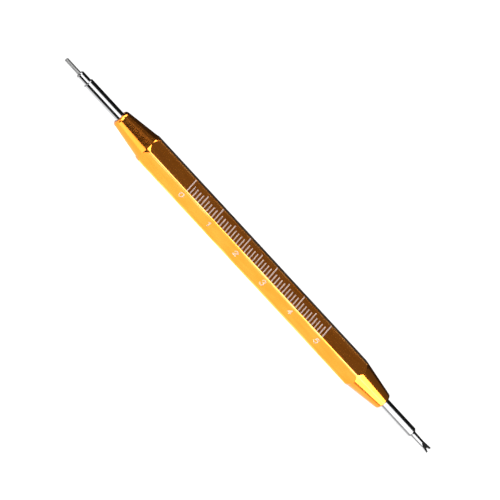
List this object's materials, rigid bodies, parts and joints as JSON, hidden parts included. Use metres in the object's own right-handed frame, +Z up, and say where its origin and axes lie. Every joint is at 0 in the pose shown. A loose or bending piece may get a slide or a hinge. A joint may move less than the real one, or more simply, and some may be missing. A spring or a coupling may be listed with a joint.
{
  "type": "spring bar tool",
  "caption": "Hexagonal bar handle with an engraved centimetre scale, a fine push-pin tip at one end and a small forked tip at the other; both tips screw in.",
  "frame": {"origin": "middle of the handle's bottom flat, halfway along the handle", "axes": "+X along the tool from the push pin to the fork, the way the scale counts; +Z up, out of the flat that carries the scale's marks; +Y away from the flat that carries the numerals"},
  "size_m": [0.1343, 0.0086, 0.0075],
  "materials": {
    "handle_anodised": "satin gold anodised",
    "tip_plated": "polished plated steel",
    "pin_steel": "ground hardened steel",
    "fork_plated": "polished plated steel"
  },
  "bodies": {
    "handle": {"handle": "handle_anodised"},
    "pin_tip": {"pin_carrier": "tip_plated", "push_pin": "pin_steel"},
    "fork_tip": {"fork_tip": "fork_plated"}
  },
  "joints": [
    {"name": "pin_tip_unscrew", "type": "slide", "parent": "handle", "child": "pin_tip", "axis": [-1, 0, 0], "range_m": [0, 0.01]},
    {"name": "fork_tip_unscrew", "type": "slide", "parent": "handle", "child": "fork_tip", "axis": [1, 0, 0], "range_m": [0, 0.01]}
  ]
}
